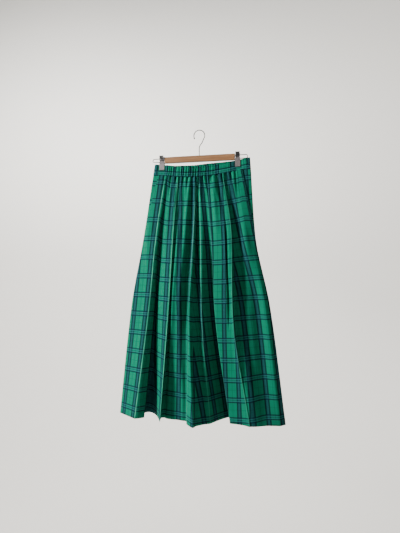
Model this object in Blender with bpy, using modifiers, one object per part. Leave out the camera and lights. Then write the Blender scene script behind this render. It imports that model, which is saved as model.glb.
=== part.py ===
"""A pleated maxi skirt in plaid cloth, hung flat by two clips from a wooden hanger.

Units are metres, +Z is up, +X is to the right of somebody who looks at the skirt's
front, and the front faces -Y. The origin is the top of the hook's inside, where the
hanger hangs. The skirt is two gathered panels on an elastic casing. Each panel is one
wall of cloth whose plan is worked out at every height from a table of its folds:
they stand close together at the waist seam and spread and deepen towards the hem.
"""
import math

import bpy
import bmesh
from mathutils import Matrix, Vector

MM = 0.001
GAP = 0.3 * MM                      # between pieces that touch on the real thing

# ---- cloth ---------------------------------------------------------------------
HEM_Z = -982 * MM
CLOTH = 1.2 * MM                    # a panel's wall
CASING = 1.6 * MM                   # the elastic casing's wall
GATHER_DEPTH = 3.4 * MM             # of the skirt's gathers, at the seam
GATHER_COLUMNS = 4                  # columns in one gather: in, crest, in, trough
GATHER_PITCH = 16 * MM
BAND_GATHER_PITCH = 10 * MM
BAND_GATHER_DEPTH = 1.5 * MM
STITCH_DEPTH = 0.5 * MM             # the casing's stitch line is drawn in by this

# The elastic casing, from its left corner to its right one: its upper edge in front
# and behind, its lower edge, and how far its wall stands out from the hanger's plane.
BAND = (  # x, front_top, back_top, seam, out   (millimetres)
    (-163, -108.5, -108.5, -146.0, 2.8),
    (-131, -111.5, -110.5, -148.5, 2.8),
    (-85, -118.5, -115.0, -154.0, 6.0),
    (-25, -125.0, -115.0, -158.5, 9.0),
    (30, -125.5, -111.5, -157.0, 9.0),
    (85, -116.0, -110.0, -150.0, 6.0),
    (131, -108.0, -107.7, -142.5, 2.8),
    (175, -100.0, -100.0, -138.5, 2.8),
)
BAND_TOP_ENDS = (-157 * MM, 172 * MM)       # the casing's corners, at its upper edge
BAND_SEAM_ENDS = (-163 * MM, 175 * MM)      # and at the skirt seam
CASING_ROWS = (0.0, 0.48, 0.62, 1.0)        # down the casing; the third is a stitch line
STITCH_ROW = 2
CASING_TURN = (  # along, out: how the casing turns in at its corners   (millimetres)
    (0.0, 0.15),
    (0.0, 1.0),
    (0.7, 2.2),
    (2.6, 2.8),
)
CASING_FLAT = 8 * MM                # its gathers begin this far from the corners
CLIP_FLAT = (11 * MM, 20 * MM)      # and fade in over these distances from a clip's middle
FULL_GATHERS = (-150 * MM, -120 * MM, 40 * MM, 75 * MM)   # they fade in, and out again, over these x
WEAK_GATHERS = 0.45                 # share of their depth left outside that stretch

# The folds of the front panel, from its left side seam to its right one. x is where
# a fold line stands at the waist seam, the hip, the knee and the hem, and out is how
# far it stands forward of the hanger's plane at the knee and the hem (minus: behind).
LEVELS = (0.0, 0.26, 0.54, 1.0)     # seam, hip, knee and hem, as shares of the length
FRONT_FOLDS = (  # name, x_seam, x_hip, x_knee, x_hem, out_knee, out_hem  (millimetres)
    ("side left", -163.0, -198.0, -242.0, -285.6, 0.15, 0.15),
    ("side left turn", -163.0, -198.0, -242.0, -285.6, 1.2, 1.2),
    ("side left round", -160.5, -195.5, -239.0, -282.0, 4.0, 4.5),
    ("left strip", -143.0, -174.0, -206.0, -250.0, 16.0, 25.0),
    ("pleat A crest", -120.0, -149.0, -169.0, -215.0, 29.0, 46.0),
    ("pleat A edge", -112.0, -142.5, -156.0, -187.0, 22.0, 35.0),
    ("pleat A under", -108.5, -141.0, -158.0, -201.0, 0.0, -10.0),
    ("pleat A back", -102.0, -134.0, -153.0, -183.0, -4.0, -24.0),
    ("recess A", -94.0, -121.0, -142.0, -153.0, 11.0, 0.0),
    ("pleat B crest", -73.0, -88.0, -99.0, -123.5, 34.0, 56.0),
    ("pleat B under", -67.5, -85.5, -98.5, -127.0, 15.0, 21.0),
    ("recess B", -57.0, -74.0, -91.0, -102.0, 13.0, 27.0),
    ("swell B", -38.0, -50.0, -64.0, -62.0, 25.0, 28.0),
    ("recess C", -22.0, -33.0, -41.0, -42.0, 10.0, 23.0),
    ("pleat C edge", -10.0, -18.0, -30.0, -32.0, 33.0, 56.0),
    ("pleat C crest", -5.5, -13.5, -25.0, -5.5, 41.0, 86.0),
    ("pleat C far side", -3.0, -9.0, -16.0, 4.0, 27.0, 68.0),
    ("pleat D", 1.0, 7.0, 12.5, 45.0, 29.0, 40.0),
    ("pleat D back", 14.0, 33.0, 48.0, 97.0, -8.0, -27.0),
    ("pleat E under", 18.5, 40.0, 57.0, 113.0, -3.0, -6.0),
    ("pleat E edge", 26.5, 44.0, 55.5, 108.5, 20.0, 27.0),
    ("crease F", 56.0, 86.0, 108.0, 151.5, 29.0, 33.0),
    ("pleat F crest", 80.0, 113.0, 118.0, 174.5, 35.0, 43.0),
    ("recess F", 87.0, 117.0, 124.0, 190.0, 8.0, 29.0),
    ("right panel", 128.0, 153.0, 190.0, 226.0, 18.0, 31.0),
    ("side right round", 172.5, 187.0, 234.5, 285.0, 4.0, 4.5),
    ("side right turn", 175.0, 189.5, 237.5, 288.5, 1.2, 1.2),
    ("side right", 175.0, 189.5, 237.5, 288.5, 0.15, 0.15),
)
# The back panel in the same way; out is how far a fold stands behind the plane.
BACK_FOLDS = (  # name, x_seam, x_hip, x_knee, x_hem, out_knee, out_hem  (millimetres)
    ("side left", -163.0, -198.0, -242.0, -285.6, 0.15, 0.15),
    ("side left turn", -163.0, -198.0, -242.0, -285.6, 1.2, 1.2),
    ("side left round", -160.5, -195.5, -239.0, -282.0, 4.0, 4.5),
    ("left strip", -136.0, -166.0, -200.0, -242.0, 19.0, 27.0),
    ("pleat G crest", -112.0, -131.0, -158.0, -192.0, 28.0, 40.0),
    ("pleat G under", -106.5, -128.0, -160.0, -201.0, 19.0, 28.0),
    ("recess G", -96.0, -115.0, -140.0, -172.0, 19.0, 29.0),
    ("pleat H crest", -60.0, -72.0, -87.0, -108.0, 35.0, 47.0),
    ("pleat H under", -54.5, -69.0, -89.0, -117.0, 26.0, 35.0),
    ("recess H", -44.0, -56.0, -70.0, -88.0, 25.0, 35.0),
    ("middle left", -17.0, -20.0, -26.0, -34.0, 31.0, 42.0),
    ("middle right", 23.0, 27.0, 31.0, 38.0, 32.0, 43.0),
    ("recess I", 50.0, 58.0, 71.0, 90.0, 25.0, 34.0),
    ("pleat I under", 60.5, 71.0, 90.0, 119.0, 26.0, 35.0),
    ("pleat I crest", 66.0, 74.0, 88.0, 110.0, 36.0, 48.0),
    ("recess J", 106.0, 118.0, 143.0, 172.0, 20.0, 30.0),
    ("pleat J under", 116.5, 130.0, 161.0, 201.0, 20.0, 29.0),
    ("pleat J crest", 122.0, 133.0, 158.0, 192.0, 29.0, 41.0),
    ("right strip", 147.0, 163.0, 200.0, 243.0, 19.0, 27.0),
    ("side right round", 172.5, 187.0, 234.5, 285.0, 4.0, 4.5),
    ("side right turn", 175.0, 189.5, 237.5, 288.5, 1.2, 1.2),
    ("side right", 175.0, 189.5, 237.5, 288.5, 0.15, 0.15),
)
FRONT_ROWS = (0.0, 0.03, 0.07, 0.125, 0.18, 0.222, 0.25, 0.35, 0.47, 0.60, 0.73, 0.87, 1.0)
BACK_ROWS = (0.0, 0.03, 0.07, 0.125, 0.20, 0.30, 0.42, 0.56, 0.70, 0.85, 1.0)

# The slanted pocket mouths, from the waist seam down to the side seam.
POCKET_INSET = {"left": 19 * MM, "right": 27 * MM}   # from the side, at the waist seam
POCKET_END = 0.235                  # share of the length where the mouth meets the side
POCKET_UNDERLAP = 14 * MM           # of the hip piece, under the front panel
POCKET_STEP = 1.8 * MM              # the front panel lies this far over the hip piece
STEP_WIDTH = (16 * MM, 40 * MM)     # from the mouth, over which that step fades out
STEP_END = 0.25                     # share of the length where it has died out
MOUTH_FLAT = (14 * MM, 30 * MM)     # from the mouth, over which the gathers fade in
SIDE_FLAT = (3 * MM, 18 * MM)       # and from the back panel's side seams
HIP_ROWS = FRONT_ROWS[:6]

# ---- hanger --------------------------------------------------------------------
WIRE_RADIUS = 1.5 * MM
HOOK_RADIUS = 19 * MM               # of the wire's centre line
HOOK_TIP_RADIUS = 2.6 * MM
BAR_HALF_LENGTH = 122.5 * MM
BAR_TOP_Z = -85.5 * MM
BAR_HEIGHT = 21.5 * MM
BAR_DEPTH = 12 * MM
BAR_BORE_RADIUS = WIRE_RADIUS + GAP
BAR_BORE_DEPTH = 16 * MM
HAIRPIN_RADIUS = 1.3 * MM
HAIRPIN_RUNS_Z = (-90 * MM, -101.5 * MM)
HAIRPIN_END_X = 166 * MM
CLIP_X = 131.5 * MM
PIN_Z = -95.75 * MM
PIN_RADIUS = 1.1 * MM
PIN_HALF_LENGTH = 7.0 * MM
SPRING_RADIUS = 2.7 * MM
SPRING_HALF_LENGTH = 3.6 * MM
PLATE = 1.0 * MM
EAR_SIZE = (0.9 * MM, 8.2 * MM, 4.2 * MM)   # thickness, depth and height of an ear
EAR_MIDDLE = 2.2 * MM               # of its depth, in front of the pin's axis
EAR_X = {"front": 6.2 * MM, "back": 4.9 * MM}   # the back half's ears stand inside the front's
PLATE_ROWS = (  # z, out, half_width   (millimetres): one half of a clip, from its lip up
    (-130.5, 5.4, 8.3),
    (-128.5, 4.45, 8.75),
    (-108.0, 4.45, 8.75),
    (-102.0, 5.6, 8.0),
    (-99.5, 5.8, 7.0),
    (-82.0, 8.6, 7.0),
)
WINDOW_HALF = (3.6 * MM, 3.2 * MM)  # the hole in each lever that shows the spring
WINDOW_Z = PIN_Z + 1.2 * MM
WINDOW_MARGIN = 0.2 * MM            # the pad's window is this much larger all round
WINDOW_CUT = (6.5 * MM, 12 * MM)    # where the window's cutter stands, and how deep it is
GRIP_THICKNESS = 1.2 * MM
GRIP_HALF_WIDTH = 7.2 * MM
GRIP_ROWS_Z = (-99.0 * MM, -81.0 * MM)

COLOURS = {  # base colour, roughness, metallic
    "plaid": ((0.012, 0.30, 0.17, 1.0), 0.85, 0.0),
    "wood": ((0.55, 0.30, 0.15, 1.0), 0.45, 0.0),
    "steel": ((0.62, 0.60, 0.60, 1.0), 0.30, 1.0),
    "grip": ((0.02, 0.02, 0.022, 1.0), 0.50, 0.0),
}


# ---- scene helpers ---------------------------------------------------------------
def clear_scene():
    for item in list(bpy.data.objects):
        bpy.data.objects.remove(item, do_unlink=True)


def new_collection(name):
    collection = bpy.data.collections.new(name)
    bpy.context.scene.collection.children.link(collection)
    return collection


def principled(name, finish):
    colour, roughness, metallic = COLOURS[finish]
    material = bpy.data.materials.new(name)
    material.use_nodes = True
    shader = material.node_tree.nodes["Principled BSDF"]
    shader.inputs["Base Color"].default_value = colour
    shader.inputs["Roughness"].default_value = roughness
    shader.inputs["Metallic"].default_value = metallic
    material.diffuse_color = colour
    return material


def place(item, finish, collection):
    """Give an object its own material and put it in its collection only."""
    for owner in list(item.users_collection):
        owner.objects.unlink(item)
    collection.objects.link(item)
    item.data.materials.append(principled(item.name, finish))
    return item


def mesh_object(name, build, finish, collection):
    """Make an object from a function that fills a bmesh."""
    shape = bmesh.new()
    build(shape)
    mesh = bpy.data.meshes.new(name)
    shape.to_mesh(mesh)
    shape.free()
    return place(bpy.data.objects.new(name, mesh), finish, collection)


# ---- curves through few values -----------------------------------------------------
def monotone(xs, ys, x):
    """A smooth curve through (xs, ys) that never overshoots them, read at x."""
    if x <= xs[0]:
        return ys[0]
    if x >= xs[-1]:
        return ys[-1]
    steps = [xs[i + 1] - xs[i] for i in range(len(xs) - 1)]
    slopes = [(ys[i + 1] - ys[i]) / steps[i] for i in range(len(steps))]
    tangents = [slopes[0]]
    for before, after in zip(slopes, slopes[1:]):
        same_way = before * after > 0
        tangents.append(2 * before * after / (before + after) if same_way else 0.0)
    tangents.append(slopes[-1])
    i = max(k for k in range(len(steps)) if xs[k] <= x)
    s = (x - xs[i]) / steps[i]
    ease = s * s * (3 - 2 * s)
    value = ys[i] + (ys[i + 1] - ys[i]) * ease
    value += steps[i] * (s * (1 - s) ** 2 * tangents[i] - s * s * (1 - s) * tangents[i + 1])
    return value


def smoothstep(low, high, x):
    s = min(1.0, max(0.0, (x - low) / (high - low)))
    return s * s * (3 - 2 * s)


def band_value(x, column):
    return monotone([row[0] * MM for row in BAND], [row[column] * MM for row in BAND], x)


def through(points, c):
    """A soft curve through the plan's points, read at c, a point's index and a share."""
    i = min(int(c), len(points) - 2)
    s = c - i
    a, b = points[i], points[i + 1]
    before = points[i - 1] if i > 0 else a
    after = points[i + 2] if i + 2 < len(points) else b
    chord = (b - a).length

    def tangent(left, middle, right):
        spread = (right - middle).length + (middle - left).length
        if spread < 1e-9:
            return b - a
        return (right - left) * (chord / spread)

    start = tangent(before, a, b) if i > 0 else b - a
    end = tangent(a, b, after) if i + 2 < len(points) else b - a
    ease = s * s * (3 - 2 * s)
    pull = start * (s * (1 - s) ** 2) - end * (s * s * (1 - s))
    return a + (b - a) * ease + pull


# ---- the panels of the skirt ----------------------------------------------------------
def fold_plan(folds, t):
    """The plan of a panel's folds at t, the share of the way down: (x, out) points."""
    plan = []
    for fold in folds:
        xs = [value * MM for value in fold[1:5]]
        x = monotone(LEVELS, xs, t)
        turned = fold[0].startswith("side")
        seam_out = min(band_value(xs[0], 4), fold[5] * MM) if turned else band_value(xs[0], 4)
        outs = (seam_out, fold[5] * MM, fold[6] * MM)
        out = monotone((LEVELS[0], LEVELS[2], LEVELS[3]), outs, t)
        plan.append(Vector((x, out)))
    return plan


def fold_columns(folds):
    """Where the wall's columns stand between the folds: more where the waist is wide."""
    spacing = GATHER_PITCH / GATHER_COLUMNS
    columns = [0.0]
    for i, (fold, following) in enumerate(zip(folds, folds[1:])):
        width = (following[1] - fold[1]) * MM
        count = max(1, round(width / spacing))
        if "turn" not in fold[0] + following[0]:
            count = max(2, count)
        columns += [i + (j + 1) / count for j in range(count)]
    return columns


def gather(column, t, edge_share):
    """How far a gather pushes a column in or out, fading unevenly below the seam."""
    crest = math.sin(math.pi / 2 * column)
    uneven = 0.78 + 0.22 * math.sin(1.7 * column + 0.6)
    reach = 0.11 + 0.06 * math.sin(0.9 * column + 2.0)
    return GATHER_DEPTH * crest * uneven * (1 - smoothstep(0.0, reach, t)) * edge_share


def pocket_x(side, t, plan):
    """Where the pocket's mouth crosses the panel, t of the way down."""
    inset = POCKET_INSET[side] * max(0.0, 1 - t / POCKET_END)
    return plan[0].x + inset if side == "left" else plan[-1].x - inset


def column_at_x(plan, x, low, high):
    """The column between low and high where the plan passes x."""
    rising = through(plan, high).x > through(plan, low).x
    for _ in range(40):
        middle = (low + high) / 2
        if (through(plan, middle).x < x) == rising:
            low = middle
        else:
            high = middle
    return (low + high) / 2


def seam_z(x):
    """Height of the waist seam's lower side."""
    return band_value(x, 3) - GAP


def panel_point(folds, plan, column, t, facing, lift, sway):
    """One point of a panel's middle surface. facing is -1 in front and 1 behind."""
    point = through(plan, column)
    top = seam_z(through(fold_plan(folds, 0.0), column).x)
    z = top + (HEM_Z - top) * t
    return Vector((point.x, facing * (point.y + lift + sway), z))


def front_wall():
    """Rows of points down the front panel, trimmed along the two pocket mouths."""
    columns = fold_columns(FRONT_FOLDS)
    last = len(FRONT_FOLDS) - 1
    left_panel, right_panel = 3, last - 3
    rows = []
    for t in FRONT_ROWS:
        plan = fold_plan(FRONT_FOLDS, t)
        mouth_left, mouth_right = pocket_x("left", t, plan), pocket_x("right", t, plan)
        start, end = 0.0, float(last)
        if t < POCKET_END:
            start = column_at_x(plan, mouth_left, 1.0, left_panel)
            end = column_at_x(plan, mouth_right, right_panel, last - 1)
        row = []
        for index, column in enumerate(columns):
            if column < left_panel:
                column = start + (left_panel - start) * column / left_panel
            elif column > right_panel:
                share = (column - right_panel) / (last - right_panel)
                column = right_panel + (end - right_panel) * share
            x = through(plan, column).x
            from_mouth = min(x - mouth_left, mouth_right - x)
            over_pocket = 1 - smoothstep(*STEP_WIDTH, from_mouth)
            lift = POCKET_STEP * over_pocket * (1 - smoothstep(HIP_ROWS[-1], STEP_END, t))
            edge_share = smoothstep(*MOUTH_FLAT, from_mouth)
            sway = gather(index, t, edge_share)
            row.append(panel_point(FRONT_FOLDS, plan, column, t, -1, lift, sway))
        rows.append(row)
    return rows


def back_wall():
    """Rows of points down the back panel, from one side seam to the other."""
    columns = fold_columns(BACK_FOLDS)
    rows = []
    for t in BACK_ROWS:
        plan = fold_plan(BACK_FOLDS, t)
        row = []
        for index, column in enumerate(columns):
            x = through(plan, column).x
            from_side = min(x - plan[0].x, plan[-1].x - x)
            sway = gather(index + 1, t, smoothstep(*SIDE_FLAT, from_side))
            row.append(panel_point(BACK_FOLDS, plan, column, t, 1, 0.0, sway))
        rows.append(row)
    return rows


def hip_wall(side):
    """Rows of points down a pocket's hip piece, from under the mouth to the side seam."""
    last = len(FRONT_FOLDS) - 1
    rows = []
    for t in HIP_ROWS:
        plan = fold_plan(FRONT_FOLDS, t)
        mouth = pocket_x(side, t, plan)
        if side == "left":
            inner = column_at_x(plan, mouth + POCKET_UNDERLAP, 1.0, 5.0)
            columns = [0.0, 1.0] + [2 + (inner - 2) * step / 4 for step in range(5)]
        else:
            inner = column_at_x(plan, mouth - POCKET_UNDERLAP, last - 4.0, last - 1.0)
            far = last - 2.0
            columns = [inner + (far - inner) * step / 4 for step in range(5)]
            columns += [last - 1.0, float(last)]
        rows.append([panel_point(FRONT_FOLDS, plan, c, t, -1, 0.0, 0.0) for c in columns])
    return rows


def casing_wall(facing):
    """Rows of points down half of the elastic casing, gathered between the clips."""
    seam_width = BAND_SEAM_ENDS[1] - BAND_SEAM_ENDS[0]
    gathers = round((seam_width - 2 * CASING_FLAT) / BAND_GATHER_PITCH)
    steps = gathers * GATHER_COLUMNS
    top_column = 1 if facing < 0 else 2
    rows = []
    for index, v in enumerate(CASING_ROWS):
        low = BAND_TOP_ENDS[0] + (BAND_SEAM_ENDS[0] - BAND_TOP_ENDS[0]) * v
        high = BAND_TOP_ENDS[1] + (BAND_SEAM_ENDS[1] - BAND_TOP_ENDS[1]) * v
        xs = [low + along * MM for along, _ in CASING_TURN]
        outs = [out * MM for _, out in CASING_TURN]
        start, end = low + CASING_FLAT, high - CASING_FLAT
        for j in range(steps + 1):
            x = start + (end - start) * j / steps
            xs.append(x)
            clear_of_clip = smoothstep(*CLIP_FLAT, abs(abs(x) - CLIP_X))
            full = smoothstep(*FULL_GATHERS[:2], x) * (1 - smoothstep(*FULL_GATHERS[2:], x))
            strong = WEAK_GATHERS + (1 - WEAK_GATHERS) * full
            uneven = 0.8 + 0.2 * math.sin(1.3 * j)
            wave = math.sin(math.pi / 2 * j) * BAND_GATHER_DEPTH * uneven * strong
            if index == STITCH_ROW:
                wave = wave / 3 - STITCH_DEPTH
            outs.append(band_value(x, 4) + wave * clear_of_clip)
        xs += [high - along * MM for along, _ in reversed(CASING_TURN)]
        outs += [out * MM for _, out in reversed(CASING_TURN)]
        row = []
        for x, out in zip(xs, outs):
            top, bottom = band_value(x, top_column), band_value(x, 3)
            row.append(Vector((x, facing * out, top + (bottom - top) * v)))
        rows.append(row)
    return rows


def cloth_object(name, rows, facing, thickness, collection):
    """A wall of cloth: an open grid through the rows, thickened on both sides."""
    def build(shape):
        grid = [[shape.verts.new(point) for point in row] for row in rows]
        for upper, lower in zip(grid, grid[1:]):
            for i in range(len(upper) - 1):
                corners = [upper[i], lower[i], lower[i + 1], upper[i + 1]]
                if facing > 0:
                    corners.reverse()
                shape.faces.new(corners)

    cloth = mesh_object(name, build, "plaid", collection)
    cloth.data.shade_smooth()
    shell = cloth.modifiers.new("cloth thickness", "SOLIDIFY")
    shell.thickness = thickness
    shell.offset = 0.0
    shell.use_even_offset = True
    return cloth


# ---- the hanger --------------------------------------------------------------------
def tube(name, points, radius, finish, collection):
    """A round wire along the points."""
    curve = bpy.data.curves.new(name, "CURVE")
    curve.dimensions = "3D"
    curve.bevel_depth = radius
    curve.bevel_resolution = 2
    curve.use_fill_caps = True
    spline = curve.splines.new("POLY")
    spline.points.add(len(points) - 1)
    for target, point in zip(spline.points, points):
        target.co = (*point, 1.0)
    return place(bpy.data.objects.new(name, curve), finish, collection)


def arc(centre, radius, start, end, count):
    """Points in the XZ plane on an arc, angles in degrees from +X, anticlockwise."""
    points = []
    for i in range(count + 1):
        angle = math.radians(start + (end - start) * i / count)
        x = centre[0] + radius * math.cos(angle)
        points.append((x, 0.0, centre[1] + radius * math.sin(angle)))
    return points


def cutter(name, radius, length, location, axis, collection):
    """A round cutter along X or Z."""
    bpy.ops.mesh.primitive_cylinder_add(vertices=16, radius=radius, depth=length, location=location)
    item = bpy.context.object
    item.name = name
    if axis == "X":
        item.rotation_euler = (0.0, math.pi / 2, 0.0)
    for owner in list(item.users_collection):
        owner.objects.unlink(item)
    collection.objects.link(item)
    item.hide_render = True
    item.display_type = "WIRE"
    return item


def box(name, size, location, collection):
    """A plain block of the size given, its scale applied to its mesh."""
    bpy.ops.mesh.primitive_cube_add(size=1.0, location=location)
    item = bpy.context.object
    item.name = name
    item.data.transform(Matrix.Diagonal((*size, 1.0)))
    for owner in list(item.users_collection):
        owner.objects.unlink(item)
    collection.objects.link(item)
    return item


def cut(item, tool, operation="DIFFERENCE"):
    """Cut a tool out of an item, or join it on."""
    step = item.modifiers.new(tool.name, "BOOLEAN")
    step.operation = operation
    step.object = tool


def hanger_bar(parts, tools):
    middle_z = BAR_TOP_Z - BAR_HEIGHT / 2
    bar = box("hanger_bar", (2 * BAR_HALF_LENGTH, BAR_DEPTH, BAR_HEIGHT), (0.0, 0.0, middle_z), parts)
    place(bar, "wood", parts)
    edge = bar.modifiers.new("rounded edges", "BEVEL")
    edge.width = 2.2 * MM
    edge.segments = 3
    for side in (-1, 1):
        for z in HAIRPIN_RUNS_Z:
            where = (side * BAR_HALF_LENGTH, 0.0, z)
            bore = cutter("wire bore", BAR_BORE_RADIUS, 2 * BAR_BORE_DEPTH, where, "X", tools)
            cut(bar, bore)
    cut(bar, cutter("hook bore", BAR_BORE_RADIUS, 20 * MM, (0.0, 0.0, BAR_TOP_Z), "Z", tools))
    return bar


def hanger_hook(parts, tools):
    """Shank, bend, arc over the top and down to the tip, then a ball on the tip."""
    centre = (0.0, WIRE_RADIUS - HOOK_RADIUS)
    shank = [(0.0, 0.0, z * MM) for z in (-95.0, -75.0, -58.0)]
    bend = [(x * MM, 0.0, z * MM) for x, z in ((0.6, -55.0), (2.6, -51.0), (6.4, -46.0), (10.4, -40.5))]
    loop = arc(centre, HOOK_RADIUS, -38, 205, 20)
    wire = tube("hanger_hook", shank + bend + loop, WIRE_RADIUS, "steel", parts)
    return ball_on_tip(wire, loop[-1], parts, tools)


def ball_on_tip(wire, tip, parts, tools):
    """Make the wire a mesh and join a ball on its end."""
    evaluated = wire.evaluated_get(bpy.context.evaluated_depsgraph_get())
    mesh = bpy.data.meshes.new_from_object(evaluated)
    shape = bmesh.new()
    shape.from_mesh(mesh)
    bmesh.ops.remove_doubles(shape, verts=shape.verts, dist=0.01 * MM)
    shape.to_mesh(mesh)
    shape.free()
    solid = bpy.data.objects.new("hook", mesh)
    name = wire.name
    bpy.data.objects.remove(wire, do_unlink=True)
    solid.name = name
    parts.objects.link(solid)
    bpy.ops.mesh.primitive_uv_sphere_add(segments=12, ring_count=8, radius=HOOK_TIP_RADIUS, location=tip)
    ball = bpy.context.object
    ball.name = "hook ball"
    for owner in list(ball.users_collection):
        owner.objects.unlink(ball)
    tools.objects.link(ball)
    ball.hide_render = True
    ball.display_type = "WIRE"
    cut(solid, ball, "UNION")
    return solid


def hairpin(side, parts):
    """A wire from one bore in the bar's end, round beyond the clip and back to the other."""
    upper, lower = HAIRPIN_RUNS_Z
    radius = (upper - lower) / 2
    inner = BAR_HALF_LENGTH - BAR_BORE_DEPTH + 1 * MM
    turn = HAIRPIN_END_X - radius - HAIRPIN_RADIUS
    bend = arc((turn, (upper + lower) / 2), radius, 90, -90, 12)
    points = [(inner, 0.0, upper), *bend, (inner, 0.0, lower)]
    name = "wire_left" if side < 0 else "wire_right"
    return tube(name, [(side * x, y, z) for x, y, z in points], HAIRPIN_RADIUS, "steel", parts)


def window_cutter(name, centre_x, facing, margin, tools):
    size = (2 * (WINDOW_HALF[0] + margin), WINDOW_CUT[1], 2 * (WINDOW_HALF[1] + margin))
    opening = box(name, size, (centre_x, facing * WINDOW_CUT[0], WINDOW_Z), tools)
    opening.hide_render = True
    opening.display_type = "WIRE"
    return opening


def clip_half(name, centre_x, facing, ear_x, parts, tools):
    """A pressed half of a clip: jaw, lever and two ears that reach in to the pin."""
    def build(shape):
        rows = []
        for z, out, half in PLATE_ROWS:
            left = Vector((centre_x - half * MM, facing * out * MM, z * MM))
            right = Vector((centre_x + half * MM, facing * out * MM, z * MM))
            rows.append([shape.verts.new(left), shape.verts.new(right)])
        for lower, upper in zip(rows, rows[1:]):
            corners = [lower[0], lower[1], upper[1], upper[0]]
            if facing > 0:
                corners.reverse()
            shape.faces.new(corners)

    plate = mesh_object(name, build, "steel", parts)
    shell = plate.modifiers.new("sheet thickness", "SOLIDIFY")
    shell.thickness = PLATE
    shell.offset = 0.0
    opening = window_cutter("lever window", centre_x, facing, 0.0, tools)
    for side in (-1, 1):
        where = (centre_x + side * ear_x, facing * EAR_MIDDLE, PIN_Z)
        ear = box("ear", EAR_SIZE, where, tools)
        ear.hide_render = True
        ear.display_type = "WIRE"
        cut(plate, ear, "UNION")
    cut(plate, opening)
    bore = (centre_x, 0.0, PIN_Z)
    cut(plate, cutter("pin bore", PIN_RADIUS + GAP, 16 * MM, bore, "X", tools))
    return plate


def clip_pin(name, centre_x, parts):
    """The pivot pin and the spring wound on it, turned about the pin's axis."""
    half = [  # along the pin, radius
        (PIN_HALF_LENGTH, 0.0),
        (PIN_HALF_LENGTH, PIN_RADIUS),
        (SPRING_HALF_LENGTH, PIN_RADIUS),
        (SPRING_HALF_LENGTH, SPRING_RADIUS),
    ]
    profile = half + [(-along, radius) for along, radius in reversed(half)]

    def build(shape):
        points = [shape.verts.new((along, radius, 0.0)) for along, radius in profile]
        for before, after in zip(points, points[1:]):
            shape.edges.new((before, after))

    pin = mesh_object(name, build, "steel", parts)
    pin.location = (centre_x, 0.0, PIN_Z)
    turn = pin.modifiers.new("turned", "SCREW")
    turn.axis = "X"
    turn.steps = 14
    turn.render_steps = 14
    turn.use_merge_vertices = True
    turn.merge_threshold = 0.01 * MM
    return pin


def clip_grip(name, centre_x, facing, parts, tools):
    """The black pad on a lever, with the lever's window left open."""
    low, high = GRIP_ROWS_Z
    slope_low, slope_high = PLATE_ROWS[4], PLATE_ROWS[5]
    rise = (slope_high[1] - slope_low[1]) / (slope_high[0] - slope_low[0])
    clear = (PLATE / 2 + GAP + GRIP_THICKNESS / 2) * math.hypot(1.0, rise)

    def build(shape):
        rows = []
        for z in (low, high):
            out = (slope_low[1] + rise * (z / MM - slope_low[0])) * MM + clear
            xs = (centre_x - GRIP_HALF_WIDTH, centre_x + GRIP_HALF_WIDTH)
            rows.append([shape.verts.new((x, facing * out, z)) for x in xs])
        corners = [rows[0][0], rows[0][1], rows[1][1], rows[1][0]]
        shape.faces.new(corners if facing < 0 else reversed(corners))

    pad = mesh_object(name, build, "grip", parts)
    shell = pad.modifiers.new("pad thickness", "SOLIDIFY")
    shell.thickness = GRIP_THICKNESS
    shell.offset = 0.0
    cut(pad, window_cutter("pad window", centre_x, facing, WINDOW_MARGIN, tools))
    return pad


def clip(side, parts, tools):
    label = "left" if side < 0 else "right"
    centre_x = side * CLIP_X
    clip_half(f"clip_{label}_front", centre_x, -1, EAR_X["front"], parts, tools)
    clip_half(f"clip_{label}_back", centre_x, 1, EAR_X["back"], parts, tools)
    clip_pin(f"clip_{label}_pin", centre_x, parts)
    clip_grip(f"clip_{label}_grip_front", centre_x, -1, parts, tools)
    clip_grip(f"clip_{label}_grip_back", centre_x, 1, parts, tools)


def build_skirt(parts):
    cloth_object("skirt_front", front_wall(), -1, CLOTH, parts)
    cloth_object("skirt_back", back_wall(), 1, CLOTH, parts)
    cloth_object("waistband_front", casing_wall(-1), -1, CASING, parts)
    cloth_object("waistband_back", casing_wall(1), 1, CASING, parts)
    for side in ("left", "right"):
        cloth_object(f"hip_{side}", hip_wall(side), -1, CLOTH, parts)


def build_hanger(parts, tools):
    hanger_bar(parts, tools)
    hanger_hook(parts, tools)
    for side in (-1, 1):
        hairpin(side, parts)
        clip(side, parts, tools)


def main():
    clear_scene()
    parts = new_collection("pleated_maxi_skirt")
    tools = new_collection("cutters")
    build_skirt(parts)
    build_hanger(parts, tools)


main()
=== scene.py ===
# %% [markdown]
# # A pleated plaid maxi skirt on a clip hanger
#
# The skirt's cut and folds are worked out once, as walls 1.2 mm thick, and packed as a fixed
# frame of plain solids. This lesson dresses that frame. The six walls of cloth become fine
# shells on the same folds, with gathers, pressed edges, creases and a woven plaid. The
# hanger's wood, wire and clips get their own finishes.
#
# Everything is in metres, +Z is up, the front faces -Y, and the origin is the top of the
# hook's inside, where the hanger hangs.

# %% Load the fixed frame
import math

import bpy
import bmesh
import numpy as np
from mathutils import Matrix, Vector, noise


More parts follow.
